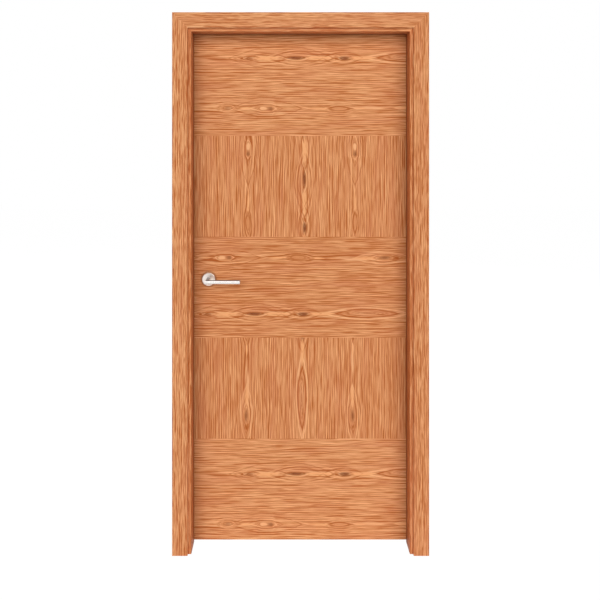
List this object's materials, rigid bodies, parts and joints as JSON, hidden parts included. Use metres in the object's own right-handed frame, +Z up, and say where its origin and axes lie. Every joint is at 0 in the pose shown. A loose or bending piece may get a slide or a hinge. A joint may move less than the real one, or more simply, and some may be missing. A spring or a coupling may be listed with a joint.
{
  "type": "interior door",
  "caption": "Flush interior door with alternating level and upright wood veneer bands, a steel lever handle, and a mitred rebated frame with flat casings.",
  "frame": {"origin": "on the outer face of the hinge jamb, at floor level, on the middle plane of the wall", "axes": "+X from the latch side to the hinge side, out of the hinge jamb into the wall; +Y the way the leaf opens, away from the face with the deep reveal; +Z up"},
  "size_m": [1.0152, 0.183, 2.112],
  "materials": {
    "veneer_level": "lacquered veneer, grain across the leaf",
    "veneer_upright": "lacquered veneer, grain up the leaf",
    "frame_wood": "lacquered veneer along each member",
    "core_board": "raw chipboard",
    "gasket_rubber": "brown sealing rubber",
    "hinge_steel": "satin steel",
    "lock_steel": "satin steel",
    "handle_steel": "satin stainless steel"
  },
  "bodies": {
    "frame": {"jamb_latch_side": "frame_wood", "jamb_hinge_side": "frame_wood", "jamb_head": "frame_wood", "front_casing_latch_side": "frame_wood", "front_casing_hinge_side": "frame_wood", "front_casing_head": "frame_wood", "back_casing_latch_side": "frame_wood", "back_casing_hinge_side": "frame_wood", "back_casing_head": "frame_wood", "gasket_latch_side": "gasket_rubber", "gasket_hinge_side": "gasket_rubber", "gasket_head": "gasket_rubber", "strike_plate": "lock_steel", "upper_hinge_frame_leaf": "hinge_steel", "middle_hinge_frame_leaf": "hinge_steel", "lower_hinge_frame_leaf": "hinge_steel", "upper_hinge_pin": "hinge_steel", "middle_hinge_pin": "hinge_steel", "lower_hinge_pin": "hinge_steel"},
    "leaf": {"upper_hinge_door_leaf": "hinge_steel", "middle_hinge_door_leaf": "hinge_steel", "lower_hinge_door_leaf": "hinge_steel", "leaf_core": "core_board", "hinge_edge_lipping": "frame_wood", "lock_edge_lipping": "frame_wood", "front_band_bottom": "veneer_level", "front_band_lower": "veneer_upright", "front_band_middle": "veneer_level", "front_band_upper": "veneer_upright", "front_band_top": "veneer_level", "back_band_bottom": "veneer_level", "back_band_lower": "veneer_upright", "back_band_middle": "veneer_level", "back_band_upper": "veneer_upright", "back_band_top": "veneer_level", "lock_forend": "lock_steel", "latch_bolt": "lock_steel", "front_rose": "handle_steel", "back_rose": "handle_steel"},
    "handle": {"front_lever": "handle_steel", "back_lever": "handle_steel", "handle_spindle": "lock_steel"}
  },
  "joints": [
    {"name": "door_swing", "type": "hinge", "parent": "frame", "child": "leaf", "pos_m": [-0.024, 0.063, 1], "axis": [0, 0, -1], "range_deg": [0, 170]},
    {"name": "lever_turn", "type": "hinge", "parent": "leaf", "child": "handle", "pos_m": [-0.8255, 0.0375, 1.05], "axis": [0, 1, 0], "range_deg": [0, 40], "stiffness_Nm_per_rad": 1.5, "springref_deg": -17.19}
  ]
}
